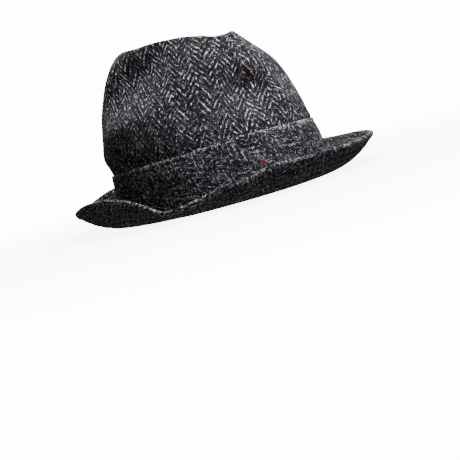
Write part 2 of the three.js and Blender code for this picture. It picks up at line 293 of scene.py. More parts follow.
class HatStudio(bpy.types.PropertyGroup):
    """The stage, its lights and the camera"""

    distance: FloatProperty(
        name="Camera Distance", description="From the camera to the point it was set up on",
        default=1.1, unit="LENGTH")
    azimuth: FloatProperty(
        name="Camera Azimuth", description="Direction of the camera round the hat",
        default=math.radians(-45), unit="ROTATION")
    elevation: FloatProperty(
        name="Camera Elevation", description="Angle of the camera over the hat",
        default=math.radians(1.2), unit="ROTATION")
    roll: FloatProperty(
        name="Camera Roll", description="Tilt of the picture", default=math.radians(16), unit="ROTATION")
    scale: FloatProperty(
        name="Picture Scale", description="Pixels for a millimetre at the hat, in the 460 pixel frame",
        default=1.11)
    key: FloatProperty(
        name="Key Light", description="Power of the main light", default=100.0, unit="POWER")
    back: FloatProperty(
        name="Back Light", description="Power of the soft light behind the hat", default=40.0, unit="POWER")
    bounce: FloatProperty(
        name="Bounce", description="Power of the light that comes back from the floor",
        default=8.0, unit="POWER")
    fill: FloatProperty(
        name="Fill", description="Strength of the even light from all round", default=0.29)


# Reading the tables

def read_table(table, key, name, at):
    """A table's column at the given places, smooth from row to row"""
    x = table[key].astype(float)
    y = table[name].astype(float)
    rows = np.arange(len(x))
    before = np.maximum(rows - 1, 0)
    after = np.minimum(rows + 1, len(x) - 1)
    slope = (y[after] - y[before]) / (x[after] - x[before])
    at = np.clip(at, x[0], x[-1])
    i = np.clip(np.searchsorted(x, at, side="right") - 1, 0, len(x) - 2)
    span = x[i + 1] - x[i]
    u = (at - x[i]) / span
    low = (2 * u**3 - 3 * u**2 + 1) * y[i] + (u**3 - 2 * u**2 + u) * span * slope[i]
    high = (3 * u**2 - 2 * u**3) * y[i + 1] + (u**3 - u**2) * span * slope[i + 1]
    return low + high


def rows_of(table):
    """A table row by row, each with its columns' names"""
    return [dict(zip(table, row)) for row in zip(*table.values())]


def wrapped(table):
    """A table by direction, continued past the back on both sides so that it reads smoothly there"""
    turned = {name: np.concatenate([column[:-1], column, column[1:]]) for name, column in table.items()}
    turned["towards"] = np.concatenate(
        [table["towards"][:-1] - 360, table["towards"], table["towards"][1:] + 360])
    return turned


SINKS_AROUND = wrapped(RIDGE_SINKS)
BRIM_AROUND = wrapped(BRIM_SECTIONS)
TOPS_AROUND = wrapped(BAND_TOPS)


def power(value, exponent):
    """A power that keeps the value's sign"""
    return np.sign(value) * np.abs(value) ** exponent


def smooth_step(x):
    """0 below 0, 1 above 1 and smooth between them"""
    u = np.clip(x, 0, 1)
    return u * u * (3 - 2 * u)


def rises(x, start, distance):
    """0 up to start, then rising smoothly to 1 within the distance"""
    return smooth_step((x - start) / distance)


def bump_at(distance_squared):
    """A round bump, 1 at its middle"""
    return np.exp(-distance_squared)


def degrees_apart(towards, middle):
    """The way round from one direction to another, from -180 to 180"""
    return (towards - middle + 180) % 360 - 180


# The shapes

def crown_point(towards, up):
    """Places on the crown's outer face, as arrays of x, y, z in millimetres"""
    towards, up = np.broadcast_arrays(np.asarray(towards, float), np.asarray(up, float))
    angle = np.radians(towards)
    value = {name: read_table(CROWN_SECTIONS, "up", name, up) for name in CROWN_SECTIONS if name != "up"}
    exponent = 2 / value["square"]
    forward = power(np.cos(angle), exponent)
    narrowing = 1 - value["taper"] * smooth_step(0.5 + 0.5 * forward)
    sink = read_table(SINKS_AROUND, "towards", "sink", towards)
    point = np.stack([
        value["width"] * power(np.sin(angle), exponent) * narrowing,
        value["middle"] - value["length"] * forward,
        value["z"] - value["share"] * sink,
    ], axis=-1)
    heading = np.stack([np.sin(angle), -np.cos(angle)], axis=-1)
    wall = 1 - rises(up, *FORMS_FADE)
    for form in rows_of(WALL_FORMS):
        aside = np.radians(degrees_apart(towards, form["towards"])) * WALL_RADIUS
        above = point[..., 2] - form["z"]
        lean = math.radians(form["lean"])
        along = aside * math.cos(lean) + above * math.sin(lean)
        upright = above * math.cos(lean) - aside * math.sin(lean)
        away = (along / form["along"]) ** 2 + (upright / form["upright"]) ** 2
        stands = form["out"] * wall * bump_at(away)
        point[..., 0] += heading[..., 0] * stands
        point[..., 1] += heading[..., 1] * stands
    for pinch in PINCHES:
        level = (point[..., 0] - pinch["x"]) ** 2 + (point[..., 1] - pinch["y"]) ** 2
        upwards = ((point[..., 2] - pinch["z"]) / pinch["reach_up"]) ** 2
        press = pinch["depth"] * bump_at(level / pinch["reach"] ** 2 + upwards)
        point[..., 0] += pinch["push_x"] * press
        point[..., 1] += pinch["push_y"] * press
    return point


def crown_normal(towards, up):
    """The direction out of the crown's wall"""
    round_step = 0.5
    up_step = 0.002
    across = crown_point(towards + round_step, up) - crown_point(towards - round_step, up)
    rise = crown_point(towards, up + up_step) - crown_point(towards, up - up_step)
    normal = np.cross(across, rise)
    return normal / np.maximum(np.linalg.norm(normal, axis=-1, keepdims=True), 1e-9)


def outward_flat(towards, z):
    """The level direction out of the crown's wall"""
    step = 0.5
    up = up_at_height(z)
    along = crown_point(towards + step, up) - crown_point(towards - step, up)
    out = np.stack([along[:, 1], -along[:, 0], np.zeros(len(along))], axis=-1)
    return out / np.linalg.norm(out, axis=-1, keepdims=True)


def puckered(towards, z):
    """How far the tacks bring a place in or out"""
    stands = 0.0
    for pucker in rows_of(PUCKERS):
        aside = np.radians(degrees_apart(towards, pucker["towards"])) * WALL_RADIUS
        above = (z - pucker["z"]) / pucker["upright"]
        stands = stands + pucker["out"] * bump_at((aside / pucker["along"]) ** 2 + above ** 2)
    return stands


def crown_skin(towards, up, slack):
    """Places on the crown's soft outer face, with its waves, seam and tacks, and the way out of it"""
    point = crown_point(towards, up)
    outward = crown_normal(towards, up)
    free = rises(point[..., 2], *WALL_FREE) * (1 - rises(up, *WAVES_FADE))
    from_seam = np.abs((towards + 90) % 180 - 90)
    seam = SEAM_DEPTH * bump_at((from_seam / SEAM_REACH) ** 2) * (1 - rises(up, *SEAM_FADE))
    stands = slack * soft_waves(point, CROWN_WAVES) * free + puckered(towards, point[..., 2]) - seam
    return point + outward * stands[..., None], outward


def grid_normals(points):
    """Unit normals of a grid whose rows run up and whose columns run once round the hat"""
    closed = np.concatenate([points[:, -2:-1], points, points[:, 1:2]], axis=1)
    across = closed[:, 2:] - closed[:, :-2]
    rise = np.gradient(points, axis=0)
    normal = np.cross(across, rise)
    length = np.linalg.norm(normal, axis=-1, keepdims=True)
    return normal / np.maximum(length, 1e-9)


def band_rows(thick):
    """The rows that go round the band: up its face, over its top fold, down its back and under its foot.

    Each row is its share of the band's height, how far out of the crown it lies, and how far above
    that share of the height.
    """
    half = thick / 2
    middle = BAND_GAP + half
    shares = np.linspace(0, 1, BAND_ROWS + 1)
    top_turns = np.radians((30, 60, 90, 120, 150))
    foot_turns = np.radians((45, 90, 135))
    face = [(share, BAND_GAP + thick, 0.0) for share in shares]
    top_fold = [(1.0, middle + half * math.cos(a), FOLD_RISE * math.sin(a)) for a in top_turns]
    back = [(share, BAND_GAP, 0.0) for share in shares[::-BACK_EVERY]]
    foot_fold = [(0.0, middle - half * math.cos(a), 0.0) for a in foot_turns]
    return face + top_fold + back + foot_fold


def band_points(towards, top, rows):
    """Places on the band's rows as they lie round the crown"""
    points = []
    for share, out, rise in rows:
        z = BAND_FOOT + (top - BAND_FOOT) * share
        hug = BAND_HUG * rises(share, *HUG_FROM)
        point = crown_point(towards, up_at_height(z)) + outward_flat(towards, z) * (out - hug)
        point[:, 2] = z + rise
        points.append(point)
    return np.array(points)


def puffed_band(points, towards, on_face):
    """The band with its face's soft waves, its wandering top edge and its tacks"""
    waves = soft_waves(points, BAND_WAVES)
    waves[:, -1] = waves[:, 0]
    puff = BAND_PUFF * np.maximum(waves, FLATTEST_PUFF) * on_face
    points = points + grid_normals(points) * puff[..., None]
    wander = TOP_WANDER["height"] * soft_noise(points, TOP_WANDER["length"], TOP_WANDER["seed"])
    points[..., 2] += wander * rises(points[..., 2], *TOP_WANDER["above"])
    heading = outward_flat(towards, np.full_like(towards, TACK_HEIGHT))
    points += heading * puckered(towards, points[..., 2])[..., None]
    points[:, -1] = points[:, 0]
    return points


def up_at_height(z):
    """Where on the crown's wall, in its lower half, a height lies"""
    ups = np.linspace(0, 0.5, 400)
    return np.interp(z, read_table(CROWN_SECTIONS, "up", "z", ups), ups)


def soft_noise(points, scale, seed):
    """Smooth noise from -1 to 1 at each point, with waves of about the given length in millimetres"""
    flat = points.reshape(-1, 3)
    shift = Vector((seed * 17.3, seed * 5.1, seed * 9.7))
    values = [noise.noise(Vector(p) / scale + shift) for p in flat.tolist()]
    return np.array(values).reshape(points.shape[:-1])


def soft_waves(points, waves):
    """Smooth noise at each point, summed from waves of some lengths"""
    return sum(share * soft_noise(points, length, seed) for length, share, seed in waves)


def brim_profile(reach, turn, width):
    """How far out and up the middle of the brim's cloth is, and its slope, at a reach along it"""
    bent = width - BRIM_FLAT
    steps = 48
    middles = (np.arange(steps) + 0.5) / steps
    lengths = reach[..., None] * middles
    slopes = turn[..., None] * np.clip((lengths - BRIM_FLAT) / bent[..., None], 0, None) ** BRIM_BEND
    out = np.cos(slopes).sum(-1) * reach / steps
    rise = np.sin(slopes).sum(-1) * reach / steps
    return out, rise, turn * np.clip((reach - BRIM_FLAT) / bent, 0, None) ** BRIM_BEND


def brim_point(towards, reach, lift, half):
    """Places in the brim: reach is along the cloth from the opening, and lift is up from its middle"""
    turn = np.radians(read_table(BRIM_AROUND, "towards", "turn", towards))
    width = read_table(BRIM_AROUND, "towards", "width", towards)
    out, rise, slope = brim_profile(reach, turn, width)
    out = out - np.sin(slope) * lift
    rise = half + rise + np.cos(slope) * lift
    angle = np.radians(towards)
    outward = np.stack([OPENING_LENGTH * np.sin(angle), -OPENING_WIDTH * np.cos(angle)], axis=-1)
    outward /= np.linalg.norm(outward, axis=-1, keepdims=True)
    x = OPENING_WIDTH * np.sin(angle) + outward[..., 0] * out
    y = FOOT_MIDDLE_Y - OPENING_LENGTH * np.cos(angle) + outward[..., 1] * out
    return np.stack([x, y, rise], axis=-1)


def brim_swell(from_edge):
    """How much thicker than its filling the brim is on each face, at a distance from its edge"""
    swell = EDGE_SWELL["out"] * bump_at(((from_edge - EDGE_SWELL["from_edge"]) / EDGE_SWELL["reach"]) ** 2)
    for groove in BRIM_GROOVES:
        swell = swell - GROOVE_DEPTH * bump_at(((from_edge - groove) / GROOVE_REACH) ** 2)
    return swell


def brim_skin(towards, reach, lift, half):
    """Places on the brim with the soft waves of its cloth"""
    point = brim_point(towards, reach, lift, half)
    width = read_table(BRIM_AROUND, "towards", "width", towards)
    wave = BRIM_WAVE["height"] * soft_noise(point, BRIM_WAVE["length"], BRIM_WAVE["seed"])
    point[..., 2] += wave * rises(reach / width, *BRIM_WAVE["from"])
    return point


# Meshes

def place(obj):
    """Puts an object in the scene"""
    bpy.context.scene.collection.objects.link(obj)
    return obj


def ring_mesh(name, rows, cloth, closed_rows, fold_ends=False, painted_highlight=None):
    """A skin through rows that each go once round the hat.

    rows has one more column than the skin, the last like the first. cloth holds a pair of cloth
    coordinates for each corner of each face. With fold_ends the first and last rows are folded
    flat and zipped. The last argument is a painted highlight: how much paler each place is made
    where light catches an edge.
    """
    count, columns = rows.shape[0], rows.shape[1] - 1
    index = np.arange(count * columns).reshape(count, columns)
    if fold_ends:
        mirrored = (-np.arange(columns)) % columns
        for end in (0, count - 1):
            index[end] = np.minimum(index[end], index[end][mirrored])
    around = np.concatenate([index, index[:, :1]], axis=1)
    if closed_rows:
        around = np.concatenate([around, around[:1]], axis=0)
    corners = np.stack([around[:-1, :-1], around[:-1, 1:], around[1:, 1:], around[1:, :-1]], axis=-1)
    faces = corners.reshape(-1, 4)
    used, compact = np.unique(faces, return_inverse=True)
    faces = compact.reshape(-1, 4)
    points = rows[:, :-1].reshape(-1, 3)[used] * MM + np.array(HAT_ORIGIN)
    mesh = bpy.data.meshes.new(name)
    mesh.from_pydata(points.tolist(), [], faces.tolist())
    layer = mesh.uv_layers.new(name="cloth")
    layer.uv.foreach_set("vector", (cloth * MM).astype(np.float32).ravel())
    # A painted highlight, kept as a point attribute: paler where light catches the edges
    if painted_highlight is not None:
        highlight_layer = mesh.attributes.new("painted_highlight", "FLOAT", "POINT")
        highlight_layer.data.foreach_set("value", painted_highlight[:, :-1].reshape(-1)[used].astype(np.float32))
    mesh.shade_smooth()
    mesh.validate()
    mesh.update()
    return place(bpy.data.objects.new(name, mesh))


def corner_cloth(right, left):
    """Cloth coordinates of every face's corners, from one grid for each half of the hat"""
    half = (right.shape[1] - 1) // 2
    chosen = []
    for grid, first, last in ((right, 0, half), (left, half, 2 * half)):
        part = grid[:, first:last + 1]
        chosen.append(np.stack([part[:-1, :-1], part[:-1, 1:], part[1:, 1:], part[1:, :-1]], axis=2))
    return np.concatenate(chosen, axis=1)


def lengths_round(points):
    """Length along each row, from its first column"""
    steps = np.linalg.norm(np.diff(points, axis=1), axis=-1)
    return np.concatenate([np.zeros((len(points), 1)), np.cumsum(steps, axis=1)], axis=1)


def lengths_up(points):
    """Length along each column, from its first row"""
    steps = np.linalg.norm(np.diff(points, axis=0), axis=-1)
    return np.concatenate([np.zeros((1, points.shape[1])), np.cumsum(steps, axis=0)], axis=0)


def crown_cloth(points, towards):
    """The two halves' cloth, each measured from its own plumb line.

    The left half is cut a whole number of herringbone repeats away, so its yarns mirror the right
    half's and its nap doesn't.
    """
    cloth = bpy.context.scene.hat_cloth
    cut_away = HALVES_APART * 2 * cloth.rib * cloth.warp / MM
    around = lengths_round(points)
    up = lengths_up(points)
    z = points[..., 2].mean(axis=1)
    plumb = np.interp(z, [PLUMB_LOW["z"], PLUMB_HIGH["z"]], [PLUMB_LOW["towards"], PLUMB_HIGH["towards"]])
    at_right = np.array([np.interp(-p, towards, row) for p, row in zip(plumb, around)])
    at_left = np.array([np.interp(p, towards, row) for p, row in zip(plumb, around)])
    right = np.stack([around - at_right[:, None], up], axis=-1)
    left = np.stack([at_left[:, None] - around + cut_away, up], axis=-1)
    return right, left


def fleck_place(fleck, slack, band_thickness):
    """The middle of a tuft on the crown, or on the band over it, and its half sizes as vectors"""
    towards = np.array([float(fleck["towards"])])
    up = np.array([fleck["up"]])
    point, outward = crown_skin(towards, up, slack)
    top = read_table(TOPS_AROUND, "towards", "z", towards)
    if point[0, 2] < top[0]:
        point = point + outward_flat(towards, point[:, 2]) * (BAND_GAP + band_thickness)
    outward = outward[0]
    side = np.cross((0, 0, 1), outward)
    side /= np.linalg.norm(side)
    rise = np.cross(outward, side)
    lean = math.radians(fleck["lean"])
    along = side * math.cos(lean) + rise * math.sin(lean)
    across = np.cross(outward, along)
    half_sizes = np.array([[fleck["long"]], [fleck["wide"]], [FLECK_HEIGHT]]) / 2
    return point[0], np.stack([along, across, outward]) * half_sizes


def fleck_ball():
    """A ball of radius 1 with 8 sides and a tip at each end of X"""
    sides = 8
    around = [(math.cos(a), math.sin(a)) for a in (2 * math.pi * k / sides for k in range(sides))]
    rings = [(math.cos(a), math.sin(a)) for a in np.radians((36, 72, 108, 144))]
    verts = [(1.0, 0.0, 0.0)]
    verts += [(x, radius * y, radius * z) for x, radius in rings for y, z in around]
    verts.append((-1.0, 0.0, 0.0))
    last = len(verts) - 1
    faces = [(0, 1 + k, 1 + (k + 1) % sides) for k in range(sides)]
    for i in range(len(rings) - 1):
        low = 1 + i * sides
        faces += [(low + k, low + sides + k, low + sides + (k + 1) % sides, low + (k + 1) % sides)
                  for k in range(sides)]
    low = 1 + (len(rings) - 1) * sides
    faces += [(last, low + (k + 1) % sides, low + k) for k in range(sides)]
    return np.array(verts), faces


# Materials

class Nodes:
    """Short ways to write a node tree of sums"""

    def __init__(self, tree):
        self.tree = tree

    def add(self, kind, **settings):
        """A new node"""
        node = self.tree.nodes.new(kind)
        for name, value in settings.items():
            setattr(node, name, value)
        return node

    def put(self, value, socket):
        """Links a value's socket to an input, or sets a plain value on it"""
        if isinstance(value, bpy.types.NodeSocket):
            self.tree.links.new(value, socket)
        else:
            socket.default_value = value

    def math(self, operation, a, b=0.0, c=0.0):
        node = self.add("ShaderNodeMath", operation=operation)
        for value, socket in zip((a, b, c), node.inputs):
            self.put(value, socket)
        return node.outputs[0]

    def join(self, x, y, z=0.0):
        node = self.add("ShaderNodeCombineXYZ")
        for value, socket in zip((x, y, z), node.inputs):
            self.put(value, socket)
        return node.outputs[0]

    def split(self, vector):
        """A vector's outputs X, Y and Z"""
        node = self.add("ShaderNodeSeparateXYZ")
        self.put(vector, node.inputs[0])
        return node.outputs

    def white(self, vector):
        """A random value from 0 to 1 for each vector"""
        node = self.add("ShaderNodeTexWhiteNoise", noise_dimensions="3D")
        self.put(vector, node.inputs["Vector"])
        return node.outputs["Value"]

    def noise(self, vector, scale, detail=2.0):
        """Soft noise round a half"""
        node = self.add("ShaderNodeTexNoise", noise_dimensions="3D")
        self.put(vector, node.inputs["Vector"])
        node.inputs["Scale"].default_value = scale
        node.inputs["Detail"].default_value = detail
        return node.outputs["Fac"]

    def cells(self, vector, scale, jitter=1.0, shift=0.0):
        """A value from 0 to 1 for each of the small cells that a surface falls into"""
        node = self.add("ShaderNodeTexVoronoi", voronoi_dimensions="3D")
        moved = self.add("ShaderNodeVectorMath", operation="ADD")
        self.put(vector, moved.inputs[0])
        moved.inputs[1].default_value = (0.0, 0.0, shift)
        self.put(moved.outputs[0], node.inputs["Vector"])
        node.inputs["Scale"].default_value = scale
        node.inputs["Randomness"].default_value = jitter
        channels = self.add("ShaderNodeSeparateColor")
        self.put(node.outputs["Color"], channels.inputs[0])
        return channels.outputs[0]

    def arch(self, value, exponent):
        """1 where value is a half and 0 where it is 0 or 1"""
        from_half = self.math("ABSOLUTE", self.math("MULTIPLY_ADD", value, 2.0, -1.0))
        return self.math("SUBTRACT", 1.0, self.math("POWER", from_half, exponent))

    def sway(self, value, texture, reach):
        """value moved up or down by a noise texture, to either side of its middle"""
        return self.math("MULTIPLY_ADD", self.math("SUBTRACT", texture, 0.5), reach, value)

    def mix(self, factor, a, b, blend="MIX"):
        """Colour a where factor is 0 and b, or a blended with b, where it is 1"""
        node = self.add("ShaderNodeMix", data_type="RGBA", blend_type=blend)
        self.put(factor, node.inputs["Factor"])
        for value, socket in ((a, node.inputs[6]), (b, node.inputs[7])):
            self.put(value if isinstance(value, bpy.types.NodeSocket) else (*value, 1.0), socket)
        return node.outputs[2]

    def choose(self, factor, a, b):
        """a where factor is 0 and b where it is 1"""
        node = self.add("ShaderNodeMix", data_type="FLOAT")
        self.put(factor, node.inputs["Factor"])
        self.put(a, node.inputs[2])
        self.put(b, node.inputs[3])
        return node.outputs[0]

    def spread(self, value, low, high, to_low=0.0, to_high=1.0):
        """Maps the range from low to high to another range, and holds it there"""
        node = self.add("ShaderNodeMapRange", clamp=True)
        for item, socket in zip((value, low, high, to_low, to_high), node.inputs):
            self.put(item, socket)
        return node.outputs[0]

    def bump(self, height, strength, distance):
        """The normal of a surface that stands out by height"""
        node = self.add("ShaderNodeBump")
        node.inputs["Strength"].default_value = strength
        node.inputs["Distance"].default_value = distance
        self.put(height, node.inputs["Height"])
        return node.outputs[0]


# Wools that tint a tuft here and there
TINTS = (
    (0.95, 0.38, 0.45), (0.72, 0.50, 0.95), (0.42, 0.85, 0.85), (0.50, 0.62, 0.98), (0.85, 0.78, 0.60),
)

TINT_STRENGTH = 0.8

# How the cloth strays: noise per millimetre, its detail and how far it reaches in millimetres
DRIFTS = ((0.03, 1.0, 5.0), (0.11, 1.0, 2.2), (0.7, 2.0, 0.8))

# Round yarns: the exponents of the arches across an upright yarn, across a cross yarn and along a pass,
# how far an upright yarn dips at the ends of a pass, and a cross yarn's height and paleness beside it
ARCHES = {"upright": 1.4, "cross": 2.0, "pass": 3.0}
DIP = 0.5
CROSS_HEIGHT = 0.55
CROSS_PALENESS = 0.45

# Strokes of wool along the twill's lines: how many a millimetre holds across the lines and along
# them, and how far apart two ribs lie in their noise
STROKES = {"across": 1.65, "along": 0.36, "ribs_apart": 7.3}

# The size of each kind of unevenness, as repeats in a millimetre of cloth, or in a stroke for streaks
SCALES = {"tufts": 1.6, "wisps": 1.7, "patches": 0.05, "dyed": 0.6, "streaks": 1.35, "fade": 0.06}

# How plainly the crown's herringbone shows, from low on its cloth to high. The fade is uneven and
# lies lower towards the front.
FADE = {
    "from": 80.0, "to": 155.0, "least": 0.15, "most": 0.75, "uneven": 70.0, "forward": 0.5, "behind": -10.0,
}

# How much each thing adds to a place's paleness where the herringbone shows, where the nap hides it
# and everywhere, and how the sum becomes a shade from dark to light
WOVEN = {"least": 0.05, "line": 0.10, "own": 0.5, "strokes": 0.36, "tufts": 0.34}
NAPPED = {"strokes": 0.55, "tufts": 0.45}
# The last entry weighs the painted highlight that makes the edges paler where light catches them
PALENESS = {"streaks": 1.1, "wisps": 0.6, "patches": 0.18, "painted_highlight": 0.25}
SHADE = {"low": 0.41, "high": 1.07, "curve": 2.9}


def start_material(name):
    """A new material, the short ways to write its nodes, and its shader"""
    material = bpy.data.materials.new(name)
    material.use_nodes = True
    return material, Nodes(material.node_tree), material.node_tree.nodes["Principled BSDF"]


def cloth_places(n, turn):
    """Cloth coordinates in millimetres, across the upright yarns and along them, a little untrue.

    Slow drifts and a wander move whole yarns, and the finest one frays the edge of each.
    """
    uv = n.add("ShaderNodeUVMap", uv_map="cloth").outputs[0]
    mapping = n.add("ShaderNodeMapping")
    n.put(uv, mapping.inputs["Vector"])
    mapping.inputs["Rotation"].default_value = (0, 0, turn)
    mapping.inputs["Scale"].default_value = (1 / MM,) * 3
    flat = mapping.outputs[0]
    axes = n.split(flat)
    moved = []
    for axis, apart in (("X", 11.0), ("Y", 31.0)):
        seeded = n.join(axes["X"], axes["Y"], apart)
        at = axes[axis]
        for scale, detail, reach in DRIFTS:
            at = n.sway(at, n.noise(seeded, scale, detail), reach)
        moved.append(at)
    return flat, moved[0], moved[1]


def twill(n, cloth, u, v):
    """A herringbone of upright yarns that each pass over two cross yarns and under two.

    The pass is a step later at each next yarn, and the steps turn back at each rib.
    """
    rib_width = cloth.rib * cloth.warp / MM
    u_warp = n.math("DIVIDE", n.math("ADD", u, rib_width / 2), cloth.warp / MM)
    v_weft = n.math("DIVIDE", v, cloth.weft / MM)
    warp = n.math("FLOOR", u_warp)
    weft = n.math("FLOOR", v_weft)
    across_warp = n.math("FRACT", u_warp)
    across_weft = n.math("FRACT", v_weft)
    rib = n.math("FLOOR", n.math("DIVIDE", warp, float(cloth.rib)))
    way = n.math("MULTIPLY_ADD", n.math("FLOORED_MODULO", rib, 2.0), -2.0, 1.0)
    stepped = n.math("SUBTRACT", weft, n.math("MULTIPLY", warp, way))
    phase = n.math("FLOORED_MODULO", stepped, 4.0)
    upright = n.math("LESS_THAN", phase, 1.5)

    # Round yarns: high along the middle of each, and low where one dips under the other
    along_pass = n.math("DIVIDE", n.math("ADD", n.math("FLOORED_MODULO", phase, 2.0), across_weft), 2.0)
    dips = n.math("MULTIPLY_ADD", n.arch(along_pass, ARCHES["pass"]), DIP, 1.0 - DIP)
    warp_height = n.math("MULTIPLY", n.arch(across_warp, ARCHES["upright"]), dips)
    weft_height = n.math("MULTIPLY", n.arch(across_weft, ARCHES["cross"]), CROSS_HEIGHT)
    height = n.choose(upright, weft_height, warp_height)

    # The twill's lines run on from yarn to yarn, palest along their middles
    on_line = n.math("MULTIPLY_ADD", n.math("SUBTRACT", u_warp, 0.5), n.math("MULTIPLY", way, -1.0), v_weft)
    from_middle = n.math("ABSOLUTE", n.math("SUBTRACT", n.math("FLOORED_MODULO", on_line, 4.0), 1.0))
    ridge = n.math("MULTIPLY", n.spread(from_middle, 1.0, 0.2), n.choose(upright, CROSS_PALENESS, 1.0))

    # Along and across the twill's lines, in millimetres
    climb = cloth.weft / cloth.warp
    lean = math.atan(climb)
    way_u = n.math("MULTIPLY", u, way)
    line_across = n.math("MULTIPLY", n.math("SUBTRACT", v, n.math("MULTIPLY", way_u, climb)), math.cos(lean))
    line_along = n.math("MULTIPLY", n.math("MULTIPLY_ADD", v, climb, way_u), math.cos(lean))
    return {
        "warp": warp, "rib": rib, "ridge": ridge, "height": height,
        "pass": n.math("FLOOR", n.math("DIVIDE", stepped, 4.0)),
        "lines": n.join(
            n.math("MULTIPLY", line_across, STROKES["across"]),
            n.math("MULTIPLY", line_along, STROKES["along"]),
            n.math("MULTIPLY", rib, STROKES["ribs_apart"])),
    }


def crown_clearness(n, flat):
    """How plainly the crown's herringbone shows: it thins out down the crown, later at the front"""
    back = n.split(n.add("ShaderNodeTexCoord").outputs["Object"])["Y"]
    forward = n.math("MAXIMUM", n.math("MULTIPLY", back, -FADE["forward"] / MM), FADE["behind"])
    level = n.math("ADD", n.split(flat)["Y"], forward)
    ragged = n.math("MULTIPLY_ADD", n.noise(flat, SCALES["fade"]), FADE["uneven"], level)
    return n.spread(ragged, FADE["from"], FADE["to"], FADE["least"], FADE["most"])


def paleness(n, flat, weave, tufts, wisps, clear):
    """How pale each place is: the pass of an upright yarn, its own shade, the nap's tufts and a painted
    highlight
    """
    own = n.white(n.join(weave["warp"], weave["pass"], 1.0))
    line = n.white(n.join(weave["rib"], weave["pass"], 2.0))
    strokes = n.cells(weave["lines"], 1.0, jitter=0.9)
    least = n.math("MULTIPLY_ADD", line, WOVEN["line"], WOVEN["least"])
    shade = n.math("MULTIPLY_ADD", n.spread(own, 0.15, 0.85), WOVEN["own"], least)
    grain = n.math("MULTIPLY_ADD", strokes, WOVEN["strokes"], n.math("MULTIPLY", tufts, WOVEN["tufts"]))
    woven = n.math("MULTIPLY_ADD", weave["ridge"], shade, grain)
    napped = n.math("MULTIPLY_ADD", strokes, NAPPED["strokes"], n.math("MULTIPLY", tufts, NAPPED["tufts"]))
    pale = n.choose(clear, napped, woven)
    pale = n.sway(pale, n.noise(weave["lines"], SCALES["streaks"]), PALENESS["streaks"])
    pale = n.sway(pale, wisps, PALENESS["wisps"])
    pale = n.sway(pale, n.noise(flat, SCALES["patches"], 3.0), PALENESS["patches"])
    # Painted highlight: the edges are made paler where light catches them, broken up by the tufts
    painted_highlight = n.add("ShaderNodeAttribute", attribute_name="painted_highlight").outputs["Fac"]
    broken_highlight = n.math("MULTIPLY", painted_highlight, n.math("MULTIPLY_ADD", tufts, 1.6, -0.5))
    pale = n.math("MULTIPLY_ADD", broken_highlight, PALENESS["painted_highlight"], pale)
    return n.math("POWER", n.spread(pale, SHADE["low"], SHADE["high"]), SHADE["curve"])


def tinted(n, flat, colour):
    """The colour with a tint of dyed wool in some tufts"""
    ramp = n.add("ShaderNodeValToRGB")
    ramp.color_ramp.interpolation = "CONSTANT"
    while len(ramp.color_ramp.elements) < len(TINTS):
        ramp.color_ramp.elements.new(1.0)
    for i, tint in enumerate(TINTS):
        ramp.color_ramp.elements[i].position = i / len(TINTS)
        ramp.color_ramp.elements[i].color = (*tint, 1.0)
    n.put(n.cells(flat, SCALES["dyed"], shift=50.0), ramp.inputs[0])
    how_much = n.math("POWER", n.cells(flat, SCALES["dyed"], shift=80.0), 3.0)
    dyed = n.mix(1.0, colour, ramp.outputs[0], "MULTIPLY")
    return n.mix(n.math("MULTIPLY", how_much, TINT_STRENGTH), colour, dyed)


def tweed(name, turn=0.0, depth=1.0, clear=None):
    """Herringbone tweed on the cloth coordinates, in whole yarns under a rough nap.

    turn is the angle that the cloth was cut at, and depth is painted shade that darkens the whole
    piece's colour. clear is how plainly the herringbone shows, from 0 to 1, or None where it thins
    out down the crown.
    """
    cloth = bpy.context.scene.hat_cloth
    material, n, shader = start_material(name)
    flat, u, v = cloth_places(n, turn)
    weave = twill(n, cloth, u, v)
    tufts = n.cells(flat, SCALES["tufts"])
    wisps = n.noise(flat, SCALES["wisps"], 3.0)
    if clear is None:
        clear = crown_clearness(n, flat)
    pale = paleness(n, flat, weave, tufts, wisps, clear)
    colour = tinted(n, flat, n.mix(pale, cloth.dark, cloth.light))
    # Painted shade in the gaps between the yarns, where shade falls, and a painted highlight a little paler
    # on their tops
    between = n.spread(weave["height"], 0.0, 0.6, to_low=0.15, to_high=1.1)
    # Painted shade: depth darkens the whole piece's colour
    between = n.math("MULTIPLY", between, depth)
    n.put(n.mix(1.0, colour, n.join(between, between, between), "MULTIPLY"), shader.inputs["Base Color"])
    n.put(n.spread(wisps, 0.2, 0.8, to_low=0.82, to_high=1.0), shader.inputs["Roughness"])
    shader.inputs["Specular IOR Level"].default_value = 0.03
    shader.inputs["Sheen Weight"].default_value = 0.006
    shader.inputs["Sheen Roughness"].default_value = 0.45
    shader.inputs["Sheen Tint"].default_value = (0.75, 0.75, 0.8, 1.0)
    height = n.math("ADD", weave["height"], n.math("MULTIPLY", wisps, 0.8))
    n.put(n.bump(height, 0.8, cloth.bump), shader.inputs["Normal"])
    return material


def thread_material():
    """Dark sewing thread, twisted and a little uneven in shade"""
    material, n, shader = start_material("Sewing Thread")
    place_on = n.add("ShaderNodeTexCoord").outputs["Object"]
    shade = n.spread(n.noise(place_on, 900.0), 0.3, 0.7)
    n.put(n.mix(shade, (0.02, 0.02, 0.024), (0.13, 0.13, 0.14)), shader.inputs["Base Color"])
    shader.inputs["Roughness"].default_value = 0.75
    shader.inputs["Specular IOR Level"].default_value = 0.25
    n.put(n.bump(n.noise(place_on, 3000.0, 1.0), 0.5, 0.15 * MM), shader.inputs["Normal"])
    return material


